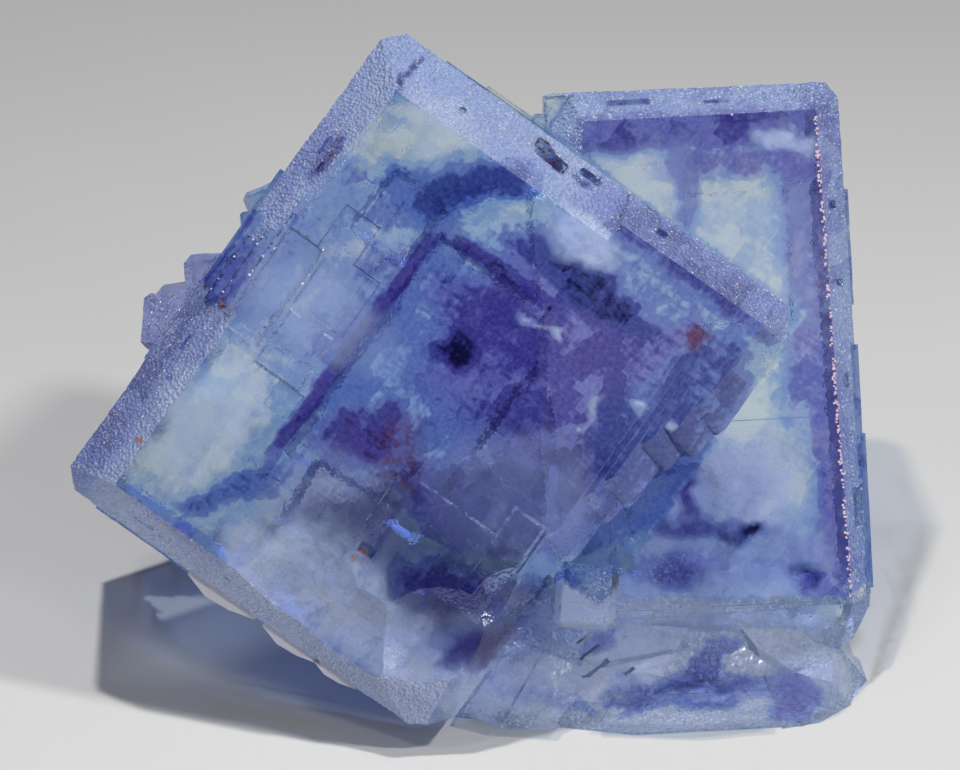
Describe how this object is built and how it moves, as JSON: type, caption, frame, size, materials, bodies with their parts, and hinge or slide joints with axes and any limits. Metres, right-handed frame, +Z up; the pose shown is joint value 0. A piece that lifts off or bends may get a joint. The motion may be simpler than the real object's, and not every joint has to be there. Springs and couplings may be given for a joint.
{
  "type": "fluorite specimen",
  "caption": "Free-standing mineral specimen of clear blue and violet fluorite: cube-shaped crystals with frosted bevels, grown into each other, resting on a flat base.",
  "frame": {"origin": "centre of the bounding box's base, on the flat cut that the specimen rests on", "axes": "+X to the right along the specimen's width, +Y towards its back, +Z up; the large crystal faces look to the front, along -Y, and up by 30 degrees"},
  "size_m": [0.051, 0.0368, 0.0397],
  "materials": {
    "clear_fluorite": "clear blue and violet crystal, glassy faces and frosted bevels"
  },
  "bodies": {
    "root": {"fluorite_cluster": "clear_fluorite"}
  },
  "joints": []
}
